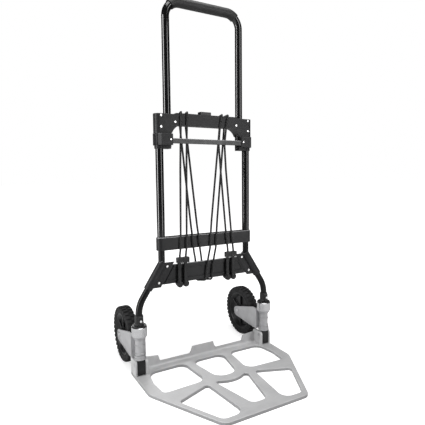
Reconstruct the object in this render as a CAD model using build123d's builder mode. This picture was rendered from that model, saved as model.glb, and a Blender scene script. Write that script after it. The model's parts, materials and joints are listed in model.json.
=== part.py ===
"""Folding luggage cart: telescopic handle, folding toe plate, and wheels that swing in as the plate folds.

Frame: +X to the user's right, +Y towards the wheels, +Z up, millimetres. The origin lies on the floor
under the middle of the cart's overall box. It is shown open, with the handle pulled out.
"""
import os
from math import tan, radians

from build123d import *

os.makedirs("parts", exist_ok=True)

# ---- driving dimensions -------------------------------------------------------------------------
overall_height = 1053.0
toe_reach = 316.0  # front edge of the toe plate, ahead of the plane of the legs
wheel_radius = 84.0
wheel_width = 31.0
wheel_offset = 128.0  # axle behind the leg that the wheel swivels about
leg_y = (toe_reach - wheel_offset - wheel_radius) / 2  # plane of the uprights and legs

tube_radius = 11.0
tube_wall = 1.2
upright_x = 142.8
handle_x = 118.0
handle_bend = 42.0
grip_radius = 13.5
grip_end_angle = 48.0  # how far round the handle's bends the grip ends, from level
handle_top = overall_height - grip_radius
handle_foot = 645.0

leg_radius = 9.5
leg_wall = 1.4
leg_x = 213.7
leg_upper_corner = 315.0
leg_lower_corner = 205.0
leg_socket_top = 470.0
leg_end = 46.0

running = 0.06  # radial clearance of shafts and sliding tubes
assembly = 0.05  # radial clearance of pieces that are fixed together

bracket_bottom = 682.0
bracket_top = 734.5
bracket_half_width = 157.5
bracket_half_depth = 15.0
bracket_span_bottom = 705.0
bracket_span_top = 738.5

slider_bottom = 639.7
slider_top = 681.4

band_bottom = 355.5
band_top = 392.5
band_half_depth = 13.5
band_wall = 2.2

panel_bottom = 256.0
panel_top = 311.0
panel_half_depth = 4.0
panel_sheet = 1.2  # half the thickness of the panel between the leg clamps

cord_radius = 2.9

pivot_y = leg_y - 2.0  # toe plate hinge
pivot_z = 40.0
plate_top = 8.2
plate_skin = 3.0
plate_wall = 3.2  # rim that goes down to the floor round the plate and its openings
plate_half_width = 231.2
foot_half_width = 12.0
foot_bottom = 10.0
foot_top = 53.5

swivel_bottom = 54.0
neck_radius = 13.7
cup_bottom = 122.0
cup_top = 148.0
cup_radius = 22.0
leaf_inner = 18.0
leaf_front = leg_y + 11.5  # the wall that joins the two leaves to the neck starts here
leaf_thickness = 2.6
leaf_rim = 1.0  # how far the leaf's edge stands out from its face
leaf_rim_width = 3.0
axle_radius = 4.5
hub_radius = 63.0

sides = (("left", -1), ("right", 1))
leg_plane = Plane.XZ.offset(-leg_y)  # local x is X and local y is Z, and its normal points forward


def front_plane(forward):
    """The leg plane, moved towards the front of the cart."""
    return Plane.XZ.offset(forward - leg_y)


def write(part, name):
    """Labels a finished piece and writes it as its own file."""
    part.label = name
    export_step(part, f"parts/{name}.step")


# ---- uprights, legs and feet --------------------------------------------------------------------
for side, sign in sides:
    with BuildPart() as upright:
        with BuildSketch(Plane.XY.offset(band_bottom + 2.0)):
            with Locations((sign * upright_x, leg_y)):
                Circle(tube_radius)
                Circle(tube_radius - tube_wall, mode=Mode.SUBTRACT)
        extrude(amount=bracket_top - 4.0 - band_bottom)
    write(upright.part, f"upright_{side}")

    with BuildPart() as leg:
        with BuildLine() as leg_path:
            FilletPolyline(
                (sign * upright_x, leg_y, leg_socket_top),
                (sign * upright_x, leg_y, leg_upper_corner),
                (sign * leg_x, leg_y, leg_lower_corner),
                (sign * leg_x, leg_y, leg_end),
                radius=[45.0, 80.0],
            )
        with BuildSketch(Plane(leg_path.line @ 0, z_dir=leg_path.line % 0)):
            Circle(leg_radius)
            Circle(leg_radius - leg_wall, mode=Mode.SUBTRACT)
        sweep(path=leg_path.line)
    write(leg.part, f"leg_{side}")

    with BuildPart() as foot:
        with BuildSketch(Plane.YZ.offset(sign * leg_x)):
            with BuildLine():
                Polyline(
                    (leg_y - 11.0, foot_bottom),
                    (leg_y + 11.0, foot_bottom),
                    (leg_y + 11.0, foot_top),
                    (leg_y - 11.0, foot_top),
                    close=True,
                )
            make_face()
        extrude(amount=foot_half_width, both=True)
        along = foot.edges().filter_by(Axis.X).group_by(Axis.Z)[0].sort_by(Axis.Y)
        fillet(along[-1], radius=9.0)
        front_low = foot.edges().filter_by(Axis.X).group_by(Axis.Z)[0].sort_by(Axis.Y)[0]
        fillet(front_low, radius=4.0)
        fillet(foot.edges().filter_by(Axis.Z), radius=1.5)
        with Locations((sign * leg_x, leg_y, foot_top)):
            Cylinder(
                leg_radius + assembly,
                foot_top - leg_end + 0.2,
                align=(Align.CENTER, Align.CENTER, Align.MAX),
                mode=Mode.SUBTRACT,
            )
        with Locations(Location((sign * leg_x, pivot_y, pivot_z), (0, 90, 0))):
            Cylinder(3.5 + running, 2 * foot_half_width + 2, mode=Mode.SUBTRACT)
    write(foot.part, f"foot_{side}")

# ---- bushing and washer above each wheel bracket ------------------------------------------------
bushing_bottom = cup_top + 4.2
bushing_top = 179.0
lug_front = 16.0
lug_rivet_z = 165.6
for side, sign in sides:
    with BuildPart() as bushing:
        with Locations((sign * leg_x, leg_y, bushing_bottom)):
            Cylinder(12.2, bushing_top - bushing_bottom, align=(Align.CENTER, Align.CENTER, Align.MIN))
            Cylinder(14.0, 4.0, align=(Align.CENTER, Align.CENTER, Align.MIN))
        with Locations((sign * leg_x, leg_y - lug_front / 2, bushing_bottom)):
            Box(12.0, lug_front, 25.0, align=(Align.CENTER, Align.CENTER, Align.MIN))
        fillet(bushing.edges().group_by(Axis.Z)[-1].filter_by(GeomType.CIRCLE), radius=1.5)
        fillet(bushing.edges().filter_by(Axis.Z).group_by(Axis.Y)[0], radius=2.5)
        with Locations((sign * leg_x, leg_y, bushing_bottom)):
            Cylinder(leg_radius + assembly, 4 * (bushing_top - bushing_bottom), mode=Mode.SUBTRACT)
    write(bushing.part, f"leg_bushing_{side}")

    with BuildPart() as washer:
        with Locations((sign * leg_x, leg_y, cup_top + 0.4)):
            Cylinder(20.3, 3.4, align=(Align.CENTER, Align.CENTER, Align.MIN))
        fillet(washer.edges().group_by(Axis.Z)[-1], radius=1.2)
        with Locations((sign * leg_x, leg_y, cup_top)):
            Cylinder(leg_radius + assembly, 20.0, mode=Mode.SUBTRACT)
    write(washer.part, f"leg_washer_{side}")


def rivet_heads(places, forward, radius, height):
    """Domed rivet heads whose flat side lies on a plane in front of the legs."""
    with BuildPart() as heads:
        with BuildSketch(front_plane(forward)):
            with Locations(*places):
                Circle(radius)
        extrude(amount=height)
        fillet(heads.edges().group_by(Axis.Y)[0], radius=height * 0.6)
    return heads.part


write(
    rivet_heads([(s * leg_x, lug_rivet_z) for _, s in sides], lug_front + assembly, 3.2, 1.4),
    "bushing_rivets",
)

# ---- top bracket: two moulded halves riveted round the tubes --------------------------------------
arch_foot_x = 110.0
arch_head_x = 84.0
hump_x = 95.0
button_half_width = 18.3
button_half_depth = 8.5
button_top = 747.5
latch_z = 722.0
bolt_radius = 4.0


def bracket_outline():
    """Right half of the bracket's front outline, from the middle out to its end, as one closed wire."""
    Polyline(
        (0, bracket_span_bottom),
        (arch_head_x, bracket_span_bottom),
    )
    RadiusArc((arch_head_x, bracket_span_bottom), (arch_foot_x, bracket_bottom), 36.0)
    Polyline(
        (arch_foot_x, bracket_bottom),
        (bracket_half_width, bracket_bottom),
        (bracket_half_width, bracket_top),
        (hump_x + 10.0, bracket_top),
        (hump_x, bracket_span_top),
        (0, bracket_span_top),
        (0, bracket_span_bottom),
    )


for half, sign_y in (("front", -1), ("rear", 1)):
    with BuildPart() as bracket:
        with BuildSketch(leg_plane):
            with BuildLine():
                bracket_outline()
            make_face()
            mirror(about=Plane.YZ)
        extrude(amount=-sign_y * bracket_half_depth)
        end_edges = bracket.edges().filter_by(Axis.Z).group_by(Axis.Y)[0 if sign_y < 0 else -1]
        fillet(end_edges, radius=12.0)
        top_edges = bracket.edges().filter_by(Axis.X).group_by(Axis.Z)[-1]
        fillet(top_edges.sort_by(Axis.Y)[0 if sign_y < 0 else -1], radius=3.0)
        for _, sign in sides:
            with Locations((sign * upright_x, leg_y, bracket_bottom)):
                Cylinder(
                    tube_radius + assembly,
                    2 * (bracket_top - 2.0 - bracket_bottom),
                    mode=Mode.SUBTRACT,
                )
            with Locations((sign * handle_x, leg_y, bracket_bottom)):
                Cylinder(tube_radius + running, 200.0, mode=Mode.SUBTRACT)
        with Locations((0, leg_y, 720.0)):
            Box(2 * button_half_width + 12.0, 22.0, 24.0, mode=Mode.SUBTRACT)
        with Locations((0, leg_y, bracket_span_top)):
            Box(2 * button_half_width + 0.6, 2 * button_half_depth + 0.6, 20.0, mode=Mode.SUBTRACT)
        with Locations(Location((0, leg_y, latch_z), (0, 90, 0))):
            Cylinder(bolt_radius + running, 2 * handle_x, mode=Mode.SUBTRACT)
    write(bracket.part, f"top_bracket_{half}")

bracket_rivets = [(s * 141.8, z) for _, s in sides for z in (698.4, 729.0)]
bracket_rivets += [(s * 99.7, 713.2) for _, s in sides]
write(rivet_heads(bracket_rivets, bracket_half_depth + assembly, 3.3, 1.5), "bracket_rivets")

# ---- release button, its spring and the two lock bolts ------------------------------------------
flange_top = 731.8
with BuildPart() as button:
    with Locations((0, leg_y, flange_top)):
        Box(
            2 * button_half_width,
            2 * button_half_depth,
            button_top - flange_top,
            align=(Align.CENTER, Align.CENTER, Align.MIN),
        )
    fillet(button.edges().filter_by(Axis.Z), radius=2.0)
    fillet(button.edges().group_by(Axis.Z)[-1], radius=1.5)
    with Locations((0, leg_y, flange_top)):
        Box(
            2 * button_half_width + 8.0,
            2 * button_half_depth + 2.0,
            3.0,
            align=(Align.CENTER, Align.CENTER, Align.MAX),
        )
write(button.part, "release_button")

spring_radius = 5.0
spring_wire = 0.6
spring_bottom = 708.0 + spring_wire + 0.1
spring_height = flange_top - 3.0 - 2 * spring_wire - 0.2 - 708.0
with BuildPart() as spring:
    with BuildLine(Plane.XY) as coil:
        Helix(
            pitch=spring_height / 5,
            height=spring_height,
            radius=spring_radius,
            center=(0, leg_y, spring_bottom),
        )
    with BuildSketch(Plane(coil.line @ 0, z_dir=coil.line % 0)):
        Circle(spring_wire)
    sweep(path=coil.line, is_frenet=True)
write(spring.part, "button_spring")

bolt_stroke = 3.0
for side, sign in sides:
    with BuildPart() as bolt:
        bolt_tip = handle_x - tube_radius - 0.6
        bolt_tail = button_half_width + 5.0 + bolt_stroke
        with BuildSketch(Plane.YZ.offset(sign * bolt_tail)):
            with Locations((leg_y, latch_z)):
                Circle(bolt_radius)
        extrude(amount=sign * (bolt_tip - bolt_tail))
        chamfer(bolt.edges().sort_by(Axis.X)[-1 if sign > 0 else 0], length=1.2)
    write(bolt.part, f"lock_bolt_{side}")

# ---- sleeve bar: a band of sheet metal round both uprights ----------------------------------------
band_half_width = 157.0
with BuildPart() as band:
    with BuildSketch(Plane.XY.offset(band_bottom)):
        with Locations((0, leg_y)):
            RectangleRounded(2 * band_half_width, 2 * band_half_depth, 12.5)
            RectangleRounded(
                2 * (band_half_width - band_wall),
                2 * (band_half_depth - band_wall),
                11.2,
                mode=Mode.SUBTRACT,
            )
    extrude(amount=band_top - band_bottom)
    fillet(band.edges().group_by(Axis.Z)[-1], radius=0.8)
write(band.part, "sleeve_bar")

saddle_inner = upright_x - 14.5
saddle_gap = band_wall + assembly
with BuildPart() as saddles:
    with BuildSketch(Plane.XY.offset(band_bottom)):
        with Locations((0, leg_y)):
            RectangleRounded(
                2 * (band_half_width - saddle_gap),
                2 * (band_half_depth - saddle_gap),
                band_half_depth - saddle_gap - 0.1,
            )
            Rectangle(2 * saddle_inner, 2 * band_half_depth, mode=Mode.SUBTRACT)
        with Locations((-upright_x, leg_y), (upright_x, leg_y)):
            Circle(tube_radius + assembly, mode=Mode.SUBTRACT)
    extrude(amount=band_top - band_bottom - 2.0)
for side, sign in sides:
    saddle = [solid for solid in saddles.solids() if solid.center().X * sign > 0]
    write(Compound(saddle) if len(saddle) > 1 else saddle[0], f"sleeve_saddle_{side}")

# ---- lower crossbar: pressed panel riveted into two leg clamps ------------------------------------
clamp_radius = 12.4
leg_lean = Vector(leg_x - upright_x, 0, leg_lower_corner - leg_upper_corner).normalized()
clamp_low_z = 249.0
clamp_high_z = 318.5
rivet_high = (127.0, 307.7)
rivet_low = (152.9, 262.7)


def on_leg(z):
    """X of the leaning leg's centreline at a height."""
    return upright_x + leg_lean.X / leg_lean.Z * (z - leg_upper_corner)


panel_high_x = 131.0
panel_low_x = 163.0
field_high = 299.0
field_low = 268.0
with BuildPart() as panel:
    with BuildSketch(front_plane(panel_sheet)):
        Polygon(
            (-panel_low_x, panel_bottom),
            (panel_low_x, panel_bottom),
            (panel_high_x, panel_top),
            (-panel_high_x, panel_top),
            align=None,
        )
    extrude(amount=-2 * panel_sheet)
    with BuildSketch(front_plane(panel_half_depth)):
        Polygon((-138, panel_bottom), (138, panel_bottom), (104, panel_top), (-104, panel_top), align=None)
    extrude(amount=-2 * panel_half_depth)
    fillet(panel.edges().filter_by(Axis.X).group_by(Axis.Y)[0], radius=1.8)
    fillet(panel.edges().filter_by(Axis.X).group_by(Axis.Y)[-1], radius=1.8)
    with BuildSketch(front_plane(panel_half_depth)):
        Polygon((-128, field_low), (128, field_low), (111, field_high), (-111, field_high), align=None)
        fillet(vertices(), radius=3.0)
    extrude(amount=-2.0, taper=30, mode=Mode.SUBTRACT)
    with BuildSketch(front_plane(-panel_half_depth)):
        Polygon((-126, 261), (126, 261), (102, 306), (-102, 306), align=None)
        fillet(vertices(), radius=3.0)
    extrude(amount=4.2, mode=Mode.SUBTRACT)
write(panel.part, "crossbar_panel")

for side, sign in sides:
    with BuildPart() as clamp:
        start = Vector(sign * on_leg(322.0), leg_y, 322.0)
        finish = Vector(sign * on_leg(248.0), leg_y, 248.0)
        with BuildSketch(Plane(start, z_dir=finish - start)):
            Circle(clamp_radius)
        extrude(amount=(finish - start).length)
        with BuildSketch(front_plane(panel_sheet + 1.3)):
            Polygon(
                (sign * on_leg(clamp_high_z), clamp_high_z),
                (sign * 105.0, clamp_high_z),
                (sign * 147.5, clamp_low_z),
                (sign * on_leg(clamp_low_z), clamp_low_z),
                align=None,
            )
        extrude(amount=-2 * (panel_sheet + 1.3))
        with BuildSketch(front_plane(panel_sheet + assembly)):
            Polygon(
                (sign * (on_leg(panel_top) - 11.0), panel_top + 0.3),
                (sign * 90.0, panel_top + 0.3),
                (sign * 90.0, panel_bottom - 0.3),
                (sign * (on_leg(panel_bottom) - 11.0), panel_bottom - 0.3),
                align=None,
            )
        extrude(amount=-2 * (panel_sheet + assembly), mode=Mode.SUBTRACT)
        with BuildLine() as bore_path:
            FilletPolyline(
                (sign * upright_x, leg_y, leg_socket_top),
                (sign * upright_x, leg_y, leg_upper_corner),
                (sign * leg_x, leg_y, leg_lower_corner),
                (sign * leg_x, leg_y, leg_end),
                radius=[45.0, 80.0],
            )
        with BuildSketch(Plane(bore_path.line @ 0, z_dir=bore_path.line % 0)):
            Circle(leg_radius + assembly)
        sweep(path=bore_path.line, mode=Mode.SUBTRACT)
        with BuildSketch(front_plane(30.0)):
            Polygon(
                (sign * 98.0, panel_bottom + 0.4),
                (sign * 138.6, panel_bottom - 0.4),
                (sign * 104.6, panel_top + 0.6),
                (sign * 90.0, panel_top + 0.6),
                align=None,
            )
        extrude(amount=-60.0, mode=Mode.SUBTRACT)
    write(clamp.solids().sort_by(SortBy.VOLUME)[-1], f"leg_clamp_{side}")

clamp_rivets = [(s * x, z) for _, s in sides for x, z in (rivet_high, rivet_low)]
write(rivet_heads(clamp_rivets, panel_sheet + 1.3 + assembly, 3.6, 1.3), "clamp_rivets")

# ---- elastic cords: each runs from a hook, twice over the top bracket and once under the crossbar --
face = bracket_half_depth + cord_radius + 0.3  # cord centre off the bracket's faces
crown = bracket_span_top + cord_radius + 0.3  # cord centre over the bracket
before_band = band_half_depth + cord_radius + 0.4
by_panel = panel_half_depth + cord_radius + 0.4
under_panel = panel_bottom - cord_radius - 0.4
hook_y = 13.2  # cord centre in the hooks' sockets, ahead of the legs
socket_bottom = 319.0
edge_turn = 60.0  # degrees a cord turns where it goes over or under an edge
edge_bend = 5.1
step_turn = 20.0  # degrees it turns where it passes from one bar to the next
step_bend = 25.0
easy_bend = 60.0

# Points are X, distance behind the legs, Z. The two cords run side by side, so they share a shape.
first_cord = [
    (-92.6, -hook_y, socket_bottom),
    (-92.4, -hook_y - 0.2, 336.0),
    (-91.2, -before_band - 0.2, 356.0),
    (-90.2, -before_band - 0.8, 405.0),
    (-88.4, -face + 0.1, 580.0),
    (-86.0, -face, 668.0),
    (-83.0, -face, crown),
    (-72.0, face, crown),
    (-70.8, face, 703.0),
    (-56.2, -before_band + 2.6, 424.0),
    (-54.0, -before_band - 0.3, 396.0),
    (-49.0, -before_band - 0.1, 346.5),
    (-32.5, by_panel, 318.0),
    (-29.0, by_panel, under_panel),
    (-5.5, -by_panel, under_panel),
    (2.2, -by_panel - 0.2, 313.0),
    (5.2, -before_band - 0.3, 352.0),
    (7.6, -before_band - 0.6, 396.0),
    (13.0, -before_band + 3.4, 434.0),
    (60.5, face, 703.0),
    (60.5, face, crown),
    (49.0, -face, crown),
    (40.8, -face, 700.0),
    (36.8, -face, 654.0),
    (42.6, -face + 0.1, 580.0),
    (58.6, -before_band - 0.8, 405.0),
    (64.4, -before_band - 0.2, 356.0),
    (68.8, -hook_y - 0.2, 336.0),
    (69.0, -hook_y, socket_bottom),
]
second_cord = [
    (-73.4, -hook_y, socket_bottom),
    (-73.3, -hook_y - 0.2, 336.0),
    (-72.4, -before_band - 0.2, 356.0),
    (-71.4, -before_band - 0.8, 405.0),
    (-69.2, -face + 0.1, 580.0),
    (-67.2, -face, 668.0),
    (-64.0, -face, crown),
    (-54.0, face, crown),
    (-52.4, face, 703.0),
    (-36.6, -before_band + 2.6, 424.0),
    (-34.0, -before_band - 0.3, 396.0),
    (-28.0, -before_band - 0.1, 346.5),
    (-12.0, by_panel, 318.0),
    (-8.0, by_panel, under_panel),
    (14.6, -by_panel, under_panel),
    (22.0, -by_panel - 0.2, 313.0),
    (24.8, -before_band - 0.3, 352.0),
    (27.2, -before_band - 0.6, 396.0),
    (32.4, -before_band + 3.4, 434.0),
    (76.5, face, 703.0),
    (76.8, face, crown),
    (69.5, -face, crown),
    (62.2, -face, 702.0),
    (56.6, -face, 654.0),
    (61.0, -face + 0.1, 580.0),
    (77.4, -before_band - 0.8, 405.0),
    (83.6, -before_band - 0.2, 356.0),
    (88.2, -hook_y - 0.2, 336.0),
    (88.4, -hook_y, socket_bottom),
]


def bend_radii(points):
    """A radius for each corner: round an edge it is tight, and elsewhere it follows the shorter run."""
    radii = []
    for before, at, after in zip(points, points[1:], points[2:]):
        arriving = Vector(*at) - Vector(*before)
        leaving = Vector(*after) - Vector(*at)
        turn = arriving.get_angle(leaving)
        room = 0.45 * min(arriving.length, leaving.length) / tan(radians(turn / 2))
        if turn > edge_turn:
            radii.append(edge_bend)
        elif turn > step_turn:
            radii.append(min(room, step_bend))
        else:
            radii.append(min(room, easy_bend))
    return radii


for name, route in (("elastic_cord_outer", first_cord), ("elastic_cord_inner", second_cord)):
    placed = [(x, leg_y + back, z) for x, back, z in route]
    radii = bend_radii(placed)
    with BuildPart() as cord:
        with BuildLine() as cord_path:
            FilletPolyline(*placed, radius=radii)
        with BuildSketch(Plane(cord_path.line @ 0, z_dir=cord_path.line % 0)):
            Circle(cord_radius)
        sweep(path=cord_path.line)
    length = sum(edge.length for edge in cord_path.edges())
    print(name, "length", round(length), "volume", round(cord.part.volume), "section times length",
          round(length * 3.14159 * cord_radius**2), "radii", [round(r) for r in radii])
    write(cord.part, name)

hook_bottom = 246.0
hook_side = hook_y - 3.0
hook_cap_bottom = 316.5
hook_knob_front = 18.0
hook_knob_back = 7.2
hook_knob_radius = 9.3
hook_knob_z = 253.0
hook_places = (-92.6, -73.4, 69.0, 88.4)
hook_names = ("cord_hook_left_outer", "cord_hook_left_inner", "cord_hook_right_inner", "cord_hook_right_outer")
for name, hook_x in zip(hook_names, hook_places):
    with BuildPart() as hook:
        with BuildLine() as hook_path:
            FilletPolyline(
                (hook_x, leg_y - hook_side, 320.0),
                (hook_x, leg_y - hook_side, hook_bottom + 3.0),
                (hook_x, leg_y + hook_side, hook_bottom + 3.0),
                (hook_x, leg_y + hook_side, 276.0),
                radius=6.5,
            )
        with BuildSketch(Plane(hook_path.line @ 0, x_dir=(1, 0, 0), z_dir=hook_path.line % 0)):
            RectangleRounded(9.6, 5.6, 2.2)
        sweep(path=hook_path.line)
        with BuildSketch(front_plane(hook_knob_front)):
            with Locations((hook_x, hook_knob_z)):
                Circle(hook_knob_radius)
        extrude(amount=hook_knob_back - hook_knob_front)
        fillet(hook.edges().filter_by(GeomType.CIRCLE).group_by(Axis.Y)[0], radius=3.4)
        with Locations((hook_x, leg_y - hook_y - 0.4, hook_cap_bottom)):
            Box(18.4, 12.0, 332.0 - hook_cap_bottom, align=(Align.CENTER, Align.CENTER, Align.MIN))
        fillet(hook.edges().group_by(Axis.Z)[-1], radius=1.6)
        with Locations((hook_x, leg_y - hook_y, socket_bottom - 0.5)):
            Cylinder(cord_radius + 0.4, 30.0, align=(Align.CENTER, Align.CENTER, Align.MIN), mode=Mode.SUBTRACT)
    write(hook.part, name)

# ---- handle: tube, grip, and the slider that joins its feet ---------------------------------------
handle_bend_x = handle_x - handle_bend
handle_bend_z = handle_top - handle_bend
with BuildPart() as handle:
    with BuildLine() as handle_path:
        FilletPolyline(
            (-handle_x, leg_y, handle_foot),
            (-handle_x, leg_y, handle_top),
            (handle_x, leg_y, handle_top),
            (handle_x, leg_y, handle_foot),
            radius=handle_bend,
        )
    with BuildSketch(Plane(handle_path.line @ 0, z_dir=handle_path.line % 0)):
        Circle(tube_radius)
        Circle(tube_radius - tube_wall, mode=Mode.SUBTRACT)
    sweep(path=handle_path.line)
write(handle.part, "handle_tube")

with BuildPart() as grip:
    with BuildLine(leg_plane) as grip_path:
        right_bend = CenterArc((handle_bend_x, handle_bend_z), handle_bend, grip_end_angle, 90 - grip_end_angle)
        Line(right_bend @ 1, (-handle_bend_x, handle_top))
        CenterArc((-handle_bend_x, handle_bend_z), handle_bend, 90, 90 - grip_end_angle)
    with BuildSketch(Plane(grip_path.line @ 0, z_dir=grip_path.line % 0)):
        Circle(grip_radius)
        Circle(tube_radius + assembly, mode=Mode.SUBTRACT)
    sweep(path=grip_path.line)
write(grip.part, "handle_grip")

slider_half_width = 156.5
slider_inner = 112.0
lug_front_y = 26.5
lug_outer = 146.0
block_bottom = 649.0
bar_front = 24.4
bar_back = 21.6
bar_low = 653.5
bar_high = 667.8
for side, sign in sides:
    with BuildPart() as block:
        with BuildSketch(Plane.XY.offset(block_bottom)):
            with Locations((sign * (slider_inner + slider_half_width) / 2, leg_y)):
                RectangleRounded(slider_half_width - slider_inner, 2 * bracket_half_depth, 4.0)
        extrude(amount=slider_top - block_bottom)
        with BuildSketch(Plane.XY.offset(slider_bottom)):
            with Locations((sign * upright_x, leg_y)):
                Circle(13.6)
            with Locations((sign * (slider_inner + upright_x) / 2, leg_y)):
                Rectangle(upright_x - slider_inner, 24.0)
        extrude(amount=block_bottom - slider_bottom)
        with BuildSketch(Plane.XY.offset(block_bottom)):
            Polygon(
                (sign * slider_inner, leg_y - 10.0),
                (sign * (lug_outer + 6.0), leg_y - 10.0),
                (sign * (lug_outer + 6.0), leg_y - bracket_half_depth),
                (sign * lug_outer, leg_y - lug_front_y),
                (sign * slider_inner, leg_y - lug_front_y),
                align=None,
            )
        extrude(amount=slider_top - block_bottom - 1.5)
        with Locations((sign * upright_x, leg_y, slider_top)):
            Cylinder(tube_radius + running, 200.0, mode=Mode.SUBTRACT)
        with Locations((sign * handle_x, leg_y, handle_foot - assembly)):
            Cylinder(
                tube_radius + assembly,
                100.0,
                align=(Align.CENTER, Align.CENTER, Align.MIN),
                mode=Mode.SUBTRACT,
            )
        with Locations((sign * slider_inner, leg_y - (bar_front + bar_back) / 2, (bar_low + bar_high) / 2)):
            Box(
                8.0,
                bar_front - bar_back + 2 * assembly,
                bar_high - bar_low + 2 * assembly,
                mode=Mode.SUBTRACT,
            )
    write(block.part, f"slider_block_{side}")

with BuildPart() as bar:
    with Locations((0, leg_y - (bar_front + bar_back) / 2, (bar_low + bar_high) / 2)):
        Box(2 * slider_inner + 7.0, bar_front - bar_back, bar_high - bar_low)
    fillet(bar.edges().filter_by(Axis.X), radius=0.8)
write(bar.part, "slider_bar")
write(rivet_heads([(s * 118.6, 664.0) for _, s in sides], lug_front_y + assembly, 2.8, 1.3), "slider_rivets")

# ---- toe plate: casting with six openings, cheeks round the feet and a rear flange ----------------
flange_front = 26.5  # behind the legs
flange_rear = 29.8
cheek_inner = (193.5, 201.0)
cheek_outer = (226.4, plate_half_width)
bend_radius = 6.0  # hollow between the plate and its rear flange
cheek_front = -12.0


def plate_outline():
    """Half of the plate's outline from above, as X and distance behind the legs."""
    Polyline(
        (0, flange_rear),
        (cheek_inner[1], flange_rear),
        (cheek_inner[1], 20.0),
        (cheek_outer[0], 20.0),
        (cheek_outer[0], flange_rear),
        (plate_half_width, flange_rear),
    )
    FilletPolyline(
        (plate_half_width, flange_rear),
        (plate_half_width, -24.0),
        (plate_half_width - 1.4, -112.0),
        (124.0, -toe_reach),
        (0, -toe_reach),
        radius=[80.0, 44.0, 24.0],
    )
    Line((0, -toe_reach), (0, flange_rear))


def hole_side_rear():
    """Outline of the right rear opening beside the middle one; the left one mirrors it."""
    FilletPolyline(
        (79.0, -1.0), (190.0, -2.0), (199.0, -66.0), (194.0, -126.0), (67.0, -120.0),
        radius=[24.0, 30.0, 60.0, 12.0, 26.0], close=True,
    )


def hole_side_front():
    """Outline of the right front opening; the left one mirrors it."""
    FilletPolyline(
        (76.0, -143.0), (178.0, -182.0), (118.0, -298.0), (59.0, -297.0),
        radius=[9.0, 10.0, 20.0, 24.0], close=True,
    )


def hole_middle_rear():
    """Outline of the middle opening next to the rear flange."""
    FilletPolyline(
        (-54.0, 0.0), (54.0, 0.0), (32.0, -123.0), (-32.0, -123.0),
        radius=[24.0, 24.0, 34.0, 34.0], close=True,
    )


def hole_middle_front():
    """Outline of the middle front opening, whose rear edge bows forward; its corners are rounded afterwards."""
    Line((-56.0, -130.0), (-22.0, -276.0))
    Line((-22.0, -276.0), (22.0, -276.0))
    Line((22.0, -276.0), (56.0, -130.0))
    ThreePointArc((56.0, -130.0), (0, -154.0), (-56.0, -130.0))


plate_plane = Plane.XY.offset(0).move(Location((0, leg_y, 0)))
with BuildPart() as toe_plate:
    with BuildSketch(plate_plane) as plate_face:
        with BuildLine():
            plate_outline()
        make_face()
        mirror(about=Plane.YZ)
        for hole in (hole_side_rear, hole_side_front):
            with BuildSketch(Plane.XY, mode=Mode.PRIVATE) as one_hole:
                with BuildLine():
                    hole()
                make_face()
                mirror(about=Plane.YZ)
            add(one_hole.sketch_local, mode=Mode.SUBTRACT)
        with BuildSketch(Plane.XY, mode=Mode.PRIVATE) as rear_hole:
            with BuildLine():
                hole_middle_rear()
            make_face()
        add(rear_hole.sketch_local, mode=Mode.SUBTRACT)
        with BuildSketch(Plane.XY, mode=Mode.PRIVATE) as front_hole:
            with BuildLine():
                hole_middle_front()
            make_face()
            corners = front_hole.vertices()
            fillet(corners.group_by(Axis.Y)[-1], radius=8.0)
            fillet(front_hole.vertices().group_by(Axis.Y)[0], radius=18.0)
        add(front_hole.sketch_local, mode=Mode.SUBTRACT)
    extrude(amount=plate_top)
    fillet(toe_plate.edges().group_by(Axis.Z)[-1], radius=1.8)
    with BuildSketch(plate_plane):
        add(plate_face.sketch_local)
        offset(amount=-plate_wall)
    extrude(amount=plate_top - plate_skin, mode=Mode.SUBTRACT)
    with BuildSketch(Plane.XZ.offset(-leg_y - flange_rear)):
        with BuildLine():
            Polyline(
                (0, plate_top - 2.0), (0, 41.0), (36.5, 41.0), (41.0, 27.0), (46.5, 20.5), (143.0, 20.5),
                (149.0, 38.0), (cheek_inner[1], 43.0), (cheek_inner[1], plate_top - 2.0), (0, plate_top - 2.0),
            )
        make_face()
        mirror(about=Plane.YZ)
    extrude(amount=flange_rear - flange_front)
    with BuildSketch(Plane.YZ):
        with Locations((leg_y + flange_front + 1.0, plate_top - 1.0)):
            Rectangle(bend_radius + 1.0, bend_radius + 1.0, align=(Align.MAX, Align.MIN))
        with Locations((leg_y + flange_front - bend_radius, plate_top + bend_radius)):
            Circle(bend_radius, mode=Mode.SUBTRACT)
    extrude(amount=cheek_inner[0], both=True)
    for _, sign in sides:
        for near, far, top in ((*cheek_inner, 51.0), (*cheek_outer, 53.5)):
            with BuildSketch(Plane.YZ.offset(sign * near)):
                with BuildLine():
                    FilletPolyline(
                        (leg_y + flange_rear, plate_top - 2.0),
                        (leg_y + flange_rear, top),
                        (leg_y + cheek_front, top),
                        (leg_y + cheek_front, plate_top - 2.0),
                        radius=[5.0, 10.0],
                    )
                    Line((leg_y + cheek_front, plate_top - 2.0), (leg_y + flange_rear, plate_top - 2.0))
                make_face()
            extrude(amount=sign * (far - near))
        with Locations(Location((sign * leg_x, pivot_y, pivot_z), (0, 90, 0))):
            Cylinder(3.5 + assembly, 60.0, mode=Mode.SUBTRACT)
write(toe_plate.part, "toe_plate")

for side, sign in sides:
    with BuildPart() as pin:
        with BuildSketch(Plane.YZ.offset(sign * (cheek_inner[0] - 2.0))):
            with Locations((pivot_y, pivot_z)):
                Circle(3.5)
        extrude(amount=sign * (cheek_outer[1] - cheek_inner[0] + 3.5))
        for x, height in ((cheek_inner[0] - assembly, -1.9), (cheek_outer[1] + assembly, 1.4)):
            with BuildSketch(Plane.YZ.offset(sign * x)):
                with Locations((pivot_y, pivot_z)):
                    Circle(4.8)
            extrude(amount=sign * height)
    write(pin.part, f"toe_pin_{side}")

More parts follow.
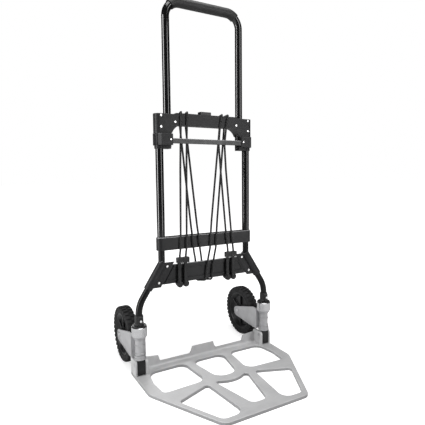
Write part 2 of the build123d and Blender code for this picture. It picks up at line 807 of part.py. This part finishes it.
# ---- swivelling wheel brackets --------------------------------------------------------------------
axle_y = leg_y + wheel_offset
axle_z = wheel_radius
for side, sign in sides:
    with BuildPart() as swivel:
        with BuildSketch(Plane.XZ.offset(-leg_y)):
            with BuildLine():
                Polyline(
                    (0, swivel_bottom), (16.4, swivel_bottom), (17.2, 54.8), (17.2, 59.4), (15.6, 60.2),
                    (15.6, 62.4), (16.4, 63.0), (16.4, 66.0), (neck_radius, 67.2), (neck_radius, 69.0),
                    (15.2, 70.0), (15.2, 73.2), (neck_radius, 74.2), (neck_radius, 91.8),
                    (15.0, 92.8), (15.0, 96.2), (neck_radius, 97.2), (neck_radius, 109.0),
                    (cup_radius, cup_bottom), (cup_radius, cup_top - 1.0), (cup_radius - 1.0, cup_top),
                    (0, cup_top), (0, swivel_bottom),
                )
            make_face()
        revolve(axis=Axis((0, leg_y, 0), (0, 0, 1)))
        with BuildSketch(Plane.YZ) as leaf:
            Polygon(
                (leaf_front, 57.5), (leg_y + 32.0, 57.0), (leg_y + 32.0, 125.0), (leaf_front, 125.0), align=None
            )
            with Locations((leg_y + 131.0, 82.0)):
                Circle(16.5)
            make_hull()
        extrude(amount=leaf_inner + leaf_thickness + leaf_rim, both=True)
        for outward in (-1, 1):
            with BuildSketch(Plane.YZ.offset(outward * (leaf_inner + leaf_thickness))):
                add(leaf.sketch_local)
                offset(amount=-leaf_rim_width)
            extrude(amount=outward * 2 * leaf_rim, mode=Mode.SUBTRACT)
        with Locations((0, leg_y + 17.0, 50.0)):
            Box(
                2 * leaf_inner,
                200.0,
                120.0,
                align=(Align.CENTER, Align.MIN, Align.MIN),
                mode=Mode.SUBTRACT,
            )
        with Locations((0, leg_y, 100.0)):
            Cylinder(leg_radius + running, 200.0, mode=Mode.SUBTRACT)
        with Locations(Location((0, axle_y, axle_z), (0, 90, 0))):
            Cylinder(axle_radius + assembly, 80.0, mode=Mode.SUBTRACT)
    placed_swivel = swivel.part.moved(Location((sign * leg_x, 0, 0)))
    write(placed_swivel, f"wheel_bracket_{side}")

    with BuildPart() as axle:
        with BuildSketch(Plane.YZ.offset(sign * leg_x - leaf_inner - leaf_thickness - 1.5)):
            with Locations((axle_y, axle_z)):
                Circle(axle_radius)
        extrude(amount=2 * (leaf_inner + leaf_thickness + 1.5))
        for end in (-1, 1):
            with BuildSketch(Plane.YZ.offset(sign * leg_x + end * (leaf_inner + leaf_thickness + assembly))):
                with Locations((axle_y, axle_z)):
                    Circle(7.0)
            extrude(amount=end * 2.4)
        fillet(axle.edges().filter_by(GeomType.CIRCLE).group_by(Axis.X)[0], radius=1.4)
        fillet(axle.edges().filter_by(GeomType.CIRCLE).group_by(Axis.X)[-1], radius=1.4)
    write(axle.part, f"axle_{side}")

# ---- wheels ---------------------------------------------------------------------------------------
# Each piece is drawn round the Z axis and then laid over onto its axle.
hub_half = 13.0
boss_half = 16.6
boss_radius = 16.0
bush_radius = 8.0
bush_half = boss_half + 0.8
rim_inner = 57.0
web_half = 2.6
spoke_count = 6
spoke_half = 8.5
tread_lugs = 36
tread_base = wheel_radius - 3.2
lug_share = 0.6  # part of the tread's circumference that the lugs of one row fill
shoulder = wheel_width / 2

with BuildPart() as hub:
    with BuildSketch(Plane.XZ):
        with BuildLine():
            Polyline(
                (bush_radius + assembly, 0),
                (bush_radius + assembly, boss_half),
                (boss_radius - 1.5, boss_half),
                (boss_radius, boss_half - 1.5),
                (boss_radius + 2.0, web_half + 2.0),
                (boss_radius + 5.0, web_half),
                (rim_inner - 8.0, web_half),
                (rim_inner, hub_half - 1.5),
                (rim_inner + 2.0, hub_half),
                (hub_radius, hub_half),
                (hub_radius, 0),
                (bush_radius + assembly, 0),
            )
        make_face()
        mirror(about=Plane.XZ)
    revolve(axis=Axis.Z)
    with PolarLocations((boss_radius + rim_inner) / 2, spoke_count):
        Box(rim_inner - boss_radius + 2.0, 3.0, 2 * spoke_half)

with BuildPart() as lug:
    with BuildSketch(Plane.XZ):
        Polygon(
            (tread_base - 8.0, 1.4),
            (wheel_radius - 0.2, 1.4),
            (wheel_radius, 6.0),
            (wheel_radius - 0.8, 12.0),
            (wheel_radius - 2.8, shoulder),
            (wheel_radius - 12.0, shoulder),
            align=None,
        )
    revolve(axis=Axis.Z, revolution_arc=360 / tread_lugs * lug_share)

with BuildPart() as tyre:
    with BuildSketch(Plane.XZ):
        with BuildLine():
            Polyline(
                (hub_radius + assembly, 0),
                (hub_radius + assembly, hub_half + 1.2),
                (hub_radius + 1.2, shoulder - 0.2),
                (hub_radius + 2.6, shoulder - 0.2),
                (hub_radius + 3.6, hub_half + 1.0),
                (tread_base - 5.0, shoulder - 0.6),
                (tread_base - 1.5, shoulder - 1.4),
                (tread_base, shoulder - 3.0),
                (tread_base, 0),
                (hub_radius + assembly, 0),
            )
        make_face()
        mirror(about=Plane.XZ)
    revolve(axis=Axis.Z)
    with PolarLocations(0, tread_lugs):
        add(lug.part)
    with PolarLocations(0, tread_lugs, start_angle=180 / tread_lugs):
        add(lug.part.mirror(Plane.XY))

with BuildPart() as bush:
    with BuildSketch(Plane.XY):
        Circle(bush_radius)
        Circle(axle_radius + running, mode=Mode.SUBTRACT)
    extrude(amount=bush_half, both=True)

for side, sign in sides:
    on_axle = Location((sign * leg_x, axle_y, axle_z), (0, 90, 0))
    write(hub.part.moved(on_axle), f"wheel_hub_{side}")
    write(tyre.part.moved(on_axle), f"tyre_{side}")
    write(bush.part.moved(on_axle), f"wheel_bush_{side}")
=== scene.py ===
import json
from math import cos, radians, sin

import bpy
from mathutils import Matrix, Vector


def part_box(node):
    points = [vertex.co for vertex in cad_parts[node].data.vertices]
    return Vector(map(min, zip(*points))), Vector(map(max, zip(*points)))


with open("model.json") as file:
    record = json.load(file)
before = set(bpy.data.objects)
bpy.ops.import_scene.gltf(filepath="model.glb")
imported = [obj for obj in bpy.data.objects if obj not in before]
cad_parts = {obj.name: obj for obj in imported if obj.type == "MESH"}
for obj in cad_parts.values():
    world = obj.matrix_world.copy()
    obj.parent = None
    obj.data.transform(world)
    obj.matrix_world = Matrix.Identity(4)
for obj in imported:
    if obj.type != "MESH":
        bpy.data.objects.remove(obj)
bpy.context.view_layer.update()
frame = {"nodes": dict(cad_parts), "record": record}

# ---- camera -----------------------------------------------------------------------------------
yaw, pitch, roll = radians(29.20), radians(5.22), radians(-0.54)
forward = Vector((sin(yaw) * cos(pitch), cos(yaw) * cos(pitch), -sin(pitch)))
right = Vector((cos(yaw), -sin(yaw), 0))
up = right.cross(forward)
right_rolled = right * cos(roll) + up * sin(roll)
up_rolled = up * cos(roll) - right * sin(roll)
camera = bpy.data.objects.new("camera", bpy.data.cameras.new("camera"))
camera.data.lens = 34.11
camera.data.sensor_width = 36
camera.data.clip_end = 50
camera_place = (-0.56450, -1.00082, 0.56391)
turn = Matrix((right_rolled, up_rolled, -forward)).transposed().to_4x4()
camera.matrix_world = Matrix.Translation(camera_place) @ turn
bpy.context.scene.collection.objects.link(camera)
bpy.context.scene.camera = camera


# ---- materials --------------------------------------------------------------------------------
# Metres in the cart's frame: how deep a sheet's painted highlight edge is, how high the plate's
# painted side shade reaches, and where the swivel castings change finish.
sheet_highlight_depth = 0.0013
plate_rim_top = 0.0083
swivel_x, swivel_y = 0.2137, 0.052
cup_radius, neck_bottom = 0.0223, 0.121

enamel_tone = (0.004, 0.004, 0.0043)
sheet_tone = (0.012, 0.012, 0.013)
bar_tone = (0.022, 0.022, 0.023)
plastic_tone = (0.012, 0.012, 0.0125)


class Nodes:
    """A material's node tree, with the few calls that the surfaces below need."""

    def __init__(self, name, base, rough, metal=0.0):
        self.material = bpy.data.materials.new(name)
        self.material.use_nodes = True
        self.tree = self.material.node_tree
        self.shader = self.tree.nodes["Principled BSDF"]
        self.shader.inputs["Base Color"].default_value = (*base, 1)
        self.shader.inputs["Roughness"].default_value = rough
        self.shader.inputs["Metallic"].default_value = metal
        self.place = self.tree.nodes.new("ShaderNodeTexCoord").outputs["Object"]
        self.height = None

    def set(self, **values):
        for name, value in values.items():
            self.shader.inputs[name.replace("_", " ")].default_value = value
        return self

    def link(self, source, target):
        self.tree.links.new(source, target)

    def stretch(self, scale):
        node = self.tree.nodes.new("ShaderNodeMapping")
        node.inputs["Scale"].default_value = scale
        self.link(self.place, node.inputs["Vector"])
        return node.outputs["Vector"]

    def noise(self, scale, detail, along=(1, 1, 1)):
        node = self.tree.nodes.new("ShaderNodeTexNoise")
        node.inputs["Scale"].default_value = scale
        node.inputs["Detail"].default_value = detail
        self.link(self.stretch(along), node.inputs["Vector"])
        return node.outputs["Fac"]

    def cells(self, scale):
        node = self.tree.nodes.new("ShaderNodeTexVoronoi")
        node.inputs["Scale"].default_value = scale
        self.link(self.place, node.inputs["Vector"])
        return node.outputs["Distance"]

    def math(self, kind, a, b=0.5):
        node = self.tree.nodes.new("ShaderNodeMath")
        node.operation = kind
        for socket, value in zip(node.inputs, (a, b)):
            if isinstance(value, (int, float)):
                socket.default_value = value
            else:
                self.link(value, socket)
        return node.outputs["Value"]

    def span(self, value, low, high, to_low, to_high):
        node = self.tree.nodes.new("ShaderNodeMapRange")
        self.link(value, node.inputs["Value"])
        ends = {"From Min": low, "From Max": high, "To Min": to_low, "To Max": to_high}
        for name, number in ends.items():
            node.inputs[name].default_value = number
        return node.outputs["Result"]

    def mix(self, factor, first, second):
        node = self.tree.nodes.new("ShaderNodeMix")
        node.data_type = "RGBA"
        self.link(factor, node.inputs[0])
        for socket, value in ((node.inputs[6], first), (node.inputs[7], second)):
            if isinstance(value, tuple):
                socket.default_value = (*value, 1)
            else:
                self.link(value, socket)
        return node.outputs[2]

    def axes(self, vector):
        node = self.tree.nodes.new("ShaderNodeSeparateXYZ")
        self.link(vector, node.inputs["Vector"])
        return [node.outputs[axis] for axis in "XYZ"]

    def edge(self, radius, upper=False):
        """1 where the surface turns sharply within the radius, or only on upper edges."""
        least_turn, full_turn = 0.02, 0.2
        bevel = self.tree.nodes.new("ShaderNodeBevel")
        bevel.samples = 6
        bevel.inputs["Radius"].default_value = radius
        facing = self.tree.nodes.new("ShaderNodeNewGeometry").outputs["Normal"]
        dot = self.tree.nodes.new("ShaderNodeVectorMath")
        dot.operation = "DOT_PRODUCT"
        self.link(bevel.outputs["Normal"], dot.inputs[0])
        self.link(facing, dot.inputs[1])
        turned = self.span(dot.outputs["Value"], 1 - full_turn, 1 - least_turn, 1.0, 0.0)
        if not upper:
            return turned
        upward = self.span(self.axes(bevel.outputs["Normal"])[2], 0.05, 0.3, 0, 1)
        return self.math("MULTIPLY", turned, upward)

    def colour(self, source):
        self.link(source, self.shader.inputs["Base Color"])
        return self

    def rough(self, source):
        self.link(source, self.shader.inputs["Roughness"])
        return self

    def bump(self, source, depth):
        node = self.tree.nodes.new("ShaderNodeBump")
        node.inputs["Distance"].default_value = depth
        node.inputs["Strength"].default_value = 1.0
        self.link(source, node.inputs["Height"])
        if self.height is not None:
            self.link(self.height, node.inputs["Normal"])
        self.height = node.outputs["Normal"]
        self.link(self.height, self.shader.inputs["Normal"])
        return self


def enamel(name, tone, coat, coat_rough, rough, gloss):
    m = Nodes(name, tone, rough).set(Coat_Weight=coat, Coat_Roughness=coat_rough, Coat_IOR=1.6)
    m.set(Specular_IOR_Level=gloss)
    m.rough(m.span(m.noise(12, 4), 0.3, 0.7, rough - 0.02, rough + 0.03))
    m.colour(m.mix(m.span(m.noise(9, 5), 0.4, 0.7, 0, 1), tone, tuple(v * 1.7 for v in tone)))
    return m.material


def moulding(name, tone, rough, gloss=0.3):
    m = Nodes(name, tone, rough).set(Specular_IOR_Level=gloss)
    grain = m.noise(1500, 3)
    m.bump(grain, 0.00008)
    m.bump(m.noise(260, 4), 0.0001)
    m.bump(m.noise(70, 3), 0.00015)
    shade = m.span(m.math("ADD", m.noise(24, 5), m.noise(190, 4)), 0.75, 1.3, 0, 1)
    mottled = m.mix(shade, tone, tuple(v * 1.9 for v in tone))
    # painted highlight: upward-facing edges are lightened toward pale grey
    painted_edge_highlight = m.math("MULTIPLY", m.edge(0.0022, upper=True), 0.4)
    m.colour(m.mix(painted_edge_highlight, mottled, (0.3, 0.3, 0.31)))
    m.rough(m.span(grain, 0.3, 0.7, rough - 0.06, rough + 0.1))
    return m.material


def powder_coat(name, tone, rough, gloss, lit_node):
    """Coated sheet, with a painted highlight along the top edge of the node lit_node."""
    m = Nodes(name, tone, rough).set(Coat_Weight=0.08, Coat_Roughness=0.3, Specular_IOR_Level=gloss)
    m.bump(m.noise(900, 2), 0.00006)
    m.rough(m.span(m.noise(40, 4), 0.3, 0.7, rough - 0.05, rough + 0.08))
    mottled = m.mix(m.span(m.noise(15, 4), 0.4, 0.7, 0, 1), tone, tuple(v * 1.35 for v in tone))
    # painted highlight: a band just below the node's top is lightened to pale grey
    lit_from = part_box(lit_node)[1][2] - sheet_highlight_depth
    lit = m.math("MULTIPLY", m.math("GREATER_THAN", m.axes(m.place)[2], lit_from), 0.8)
    m.colour(m.mix(lit, mottled, (0.5, 0.5, 0.51)))
    return m.material


def grip_foam():
    m = Nodes("grip_foam", (0.01, 0.01, 0.0103), 0.4).set(Sheen_Weight=0.05, Sheen_Roughness=0.4)
    pores = m.cells(1400)
    m.bump(m.math("POWER", pores, 0.7), 0.00012)
    m.bump(m.noise(55, 4), 0.0004)
    scuffs = m.span(m.noise(30, 5), 0.35, 0.7, 0, 1)
    m.colour(m.mix(scuffs, (0.008, 0.008, 0.0083), (0.015, 0.015, 0.0155)))
    m.rough(m.span(pores, 0.0, 0.6, 0.32, 0.5))
    return m.material


def cord_sheath():
    m = Nodes("cord_sheath", (0.008, 0.008, 0.008), 0.62).set(Sheen_Weight=0.3, Sheen_Roughness=0.35)
    bands = []
    for lean in (1, -1):
        node = m.tree.nodes.new("ShaderNodeTexWave")
        node.bands_direction = "DIAGONAL"
        node.inputs["Scale"].default_value = 190
        m.link(m.stretch((lean, lean, 1.0)), node.inputs["Vector"])
        bands.append(node.outputs["Fac"])
    weave = m.math("MAXIMUM", bands[0], bands[1])
    m.bump(weave, 0.0004)
    m.colour(m.mix(weave, (0.004, 0.004, 0.004), (0.015, 0.015, 0.0155)))
    return m.material


def cast_alloy():
    m = Nodes("cast_alloy", (0.6, 0.6, 0.61), 0.42, 0.2)
    grain = m.noise(1100, 4)
    broad = m.noise(18, 5)
    streaks = m.noise(60, 4, along=(1, 14, 1))
    m.bump(grain, 0.00006)
    m.bump(m.noise(160, 3), 0.00006)
    top = m.mix(m.span(broad, 0.3, 0.75, 0, 1), (0.5, 0.5, 0.505), (0.6, 0.6, 0.605))
    top = m.mix(m.span(streaks, 0.35, 0.75, 0, 0.5), top, (0.66, 0.66, 0.665))
    # painted shade: the plate's steep side walls below the rim top are darkened toward (0.2, 0.2,
    # 0.205)
    upward = m.axes(m.tree.nodes["Texture Coordinate"].outputs["Normal"])[2]
    low_down = m.math("LESS_THAN", m.axes(m.place)[2], plate_rim_top)
    painted_side_shade = m.math("MULTIPLY", m.span(upward, 0.25, 0.85, 1, 0), low_down)
    m.colour(m.mix(m.math("MULTIPLY", painted_side_shade, 0.6), top, (0.2, 0.2, 0.205)))
    m.rough(m.span(grain, 0.3, 0.7, 0.38, 0.52))
    return m.material


def bracket_alloy():
    """Satin leaves, with the swivel's turned cup and neck polished."""
    m = Nodes("bracket_alloy", (0.5, 0.5, 0.51), 0.34, 0.6)
    grain = m.noise(1300, 3)
    x, y, z = m.axes(m.place)
    sideways = m.math("SUBTRACT", m.math("ABSOLUTE", x), swivel_x)
    behind = m.math("SUBTRACT", y, swivel_y)
    squares = [m.math("MULTIPLY", part, part) for part in (sideways, behind)]
    near = m.math("LESS_THAN", m.math("SQRT", m.math("ADD", *squares)), cup_radius)
    polished = m.math("MULTIPLY", near, m.math("GREATER_THAN", z, neck_bottom))
    lathe = m.noise(90, 3, along=(0.1, 0.1, 22))
    m.bump(grain, 0.000012)
    satin = m.mix(m.span(m.noise(28, 5), 0.3, 0.75, 0, 1), (0.42, 0.42, 0.43), (0.54, 0.54, 0.55))
    bright = m.mix(m.span(lathe, 0.3, 0.7, 0, 1), (0.56, 0.56, 0.57), (0.68, 0.68, 0.69))
    # painted highlight: sharp edges get the bright polished colour
    painted_edge_highlight = m.math("MULTIPLY", m.edge(0.0012), 0.8)
    m.colour(m.mix(m.math("MAXIMUM", polished, painted_edge_highlight), satin, bright))
    m.link(m.span(polished, 0, 1, 0.6, 0.95), m.shader.inputs["Metallic"])
    dull = m.span(m.noise(60, 4), 0.3, 0.7, 0.3, 0.42)
    m.rough(m.math("SUBTRACT", dull, m.math("MULTIPLY", polished, 0.17)))
    return m.material


def steel(name, tone, rough):
    m = Nodes(name, tone, rough, 1.0)
    m.bump(m.noise(700, 2), 0.00003)
    m.rough(m.span(m.noise(240, 3), 0.3, 0.7, rough - 0.06, rough + 0.1))
    return m.material


def tyre_rubber():
    m = Nodes("tyre_rubber", (0.011, 0.011, 0.0115), 0.68).set(Specular_IOR_Level=0.35)
    m.bump(m.noise(900, 4), 0.0001)
    m.bump(m.noise(120, 3), 0.0002)
    dust = m.span(m.noise(45, 6), 0.4, 0.75, 0, 1)
    m.colour(m.mix(dust, (0.008, 0.008, 0.0085), (0.02, 0.02, 0.021)))
    m.rough(m.span(m.noise(80, 4), 0.3, 0.7, 0.58, 0.8))
    return m.material


surfaces = {
    "black_tube": enamel("black_tube", enamel_tone, 1.0, 0.09, 0.2, 0.05),
    "dark_moulding": moulding("dark_moulding", (0.014, 0.014, 0.015), 0.44),
    "dark_sheet": powder_coat("dark_sheet", sheet_tone, 0.38, 0.3, "crossbar_panel"),
    "grip_foam": grip_foam(),
    "cord_sheath": cord_sheath(),
    "hook_plastic": moulding("hook_plastic", plastic_tone, 0.3),
    "cast_alloy": cast_alloy(),
    "bracket_alloy": bracket_alloy(),
    "rivet_steel": steel("rivet_steel", (0.9, 0.9, 0.9), 0.34),
    "axle_steel": steel("axle_steel", (0.58, 0.58, 0.59), 0.3),
    "spring_steel": steel("spring_steel", (0.45, 0.45, 0.46), 0.32),
    "foot_plastic": moulding("foot_plastic", plastic_tone, 0.36),
    "hub_plastic": moulding("hub_plastic", (0.008, 0.008, 0.0085), 0.34),
    "bush_plastic": moulding("bush_plastic", (0.05, 0.05, 0.052), 0.4),
    "tyre_rubber": tyre_rubber(),
}
slot_of = {entry["node"]: entry["material_slot"] for entry in frame["record"]["subparts"]}
leg_enamel = enamel("leg_enamel", enamel_tone, 0.1, 0.22, 0.4, 0.2)
gloss_moulding = moulding("gloss_moulding", (0.006, 0.006, 0.0063), 0.26, 0.45)
own_surface = {
    "slider_bar": powder_coat("bar_coat", bar_tone, 0.34, 0.42, "slider_bar"),
    "sleeve_bar": powder_coat("sleeve_coat", sheet_tone, 0.38, 0.3, "sleeve_bar"),
}
for side in ("left", "right"):
    own_surface[f"leg_{side}"] = leg_enamel
    own_surface[f"leg_bushing_{side}"] = own_surface[f"leg_washer_{side}"] = gloss_moulding
for name, piece in frame["nodes"].items():
    piece.data.materials.clear()
    piece.data.materials.append(own_surface.get(name, surfaces[slot_of[name]]))

# ---- floor and lights -------------------------------------------------------------------------
bpy.ops.mesh.primitive_plane_add(size=60, location=(0, 0, 0))
floor = bpy.context.object
floor.name = "floor"
paper = Nodes("paper", (0.8, 0.8, 0.8), 0.9).set(Emission_Color=(1, 1, 1, 1), Specular_IOR_Level=0.0)
reach = paper.tree.nodes.new("ShaderNodeVectorMath")
reach.operation = "LENGTH"
paper.link(paper.place, reach.inputs[0])
rays = paper.tree.nodes.new("ShaderNodeLightPath")
brightness = paper.span(reach.outputs["Value"], 0.5, 2.2, 0.6, 1.0)
glow = paper.math("MULTIPLY", brightness, rays.outputs["Is Camera Ray"])
paper.link(glow, paper.shader.inputs["Emission Strength"])
floor.data.materials.append(paper.material)

world = bpy.data.worlds.new("studio")
bpy.context.scene.world = world
world.use_nodes = True
sky = world.node_tree
backdrop = sky.nodes["Background"]
backdrop.inputs["Color"].default_value = (1, 1, 1, 1)
sky_rays = sky.nodes.new("ShaderNodeLightPath")
level = sky.nodes.new("ShaderNodeMapRange")
level.inputs["To Min"].default_value = 0.05
level.inputs["To Max"].default_value = 1.0
sky.links.new(sky_rays.outputs["Is Camera Ray"], level.inputs["Value"])
sky.links.new(level.outputs["Result"], backdrop.inputs["Strength"])


def softbox(name, place, aim, width, height, power):
    lamp = bpy.data.lights.new(name, "AREA")
    lamp.shape = "RECTANGLE"
    lamp.size = width
    lamp.size_y = height
    lamp.energy = power
    holder = bpy.data.objects.new(name, lamp)
    holder.location = place
    holder.rotation_euler = (Vector(aim) - Vector(place)).to_track_quat("-Z", "Y").to_euler()
    bpy.context.scene.collection.objects.link(holder)


softbox("key", (-2.67, 0.05, 0.95), (0, 0, 0.55), 0.85, 2.1, 62)
softbox("fill", (1.3, -2.37, 0.95), (0, 0, 0.55), 0.7, 2.0, 25)
softbox("top", (0.1, -0.5, 2.9), (0, 0, 0.1), 2.2, 2.2, 60)
softbox("back", (0.6, 2.6, 1.6), (0, 0, 0.5), 1.6, 1.2, 14)

view = bpy.context.scene.view_settings
view.view_transform = "Standard"
view.look = "None"
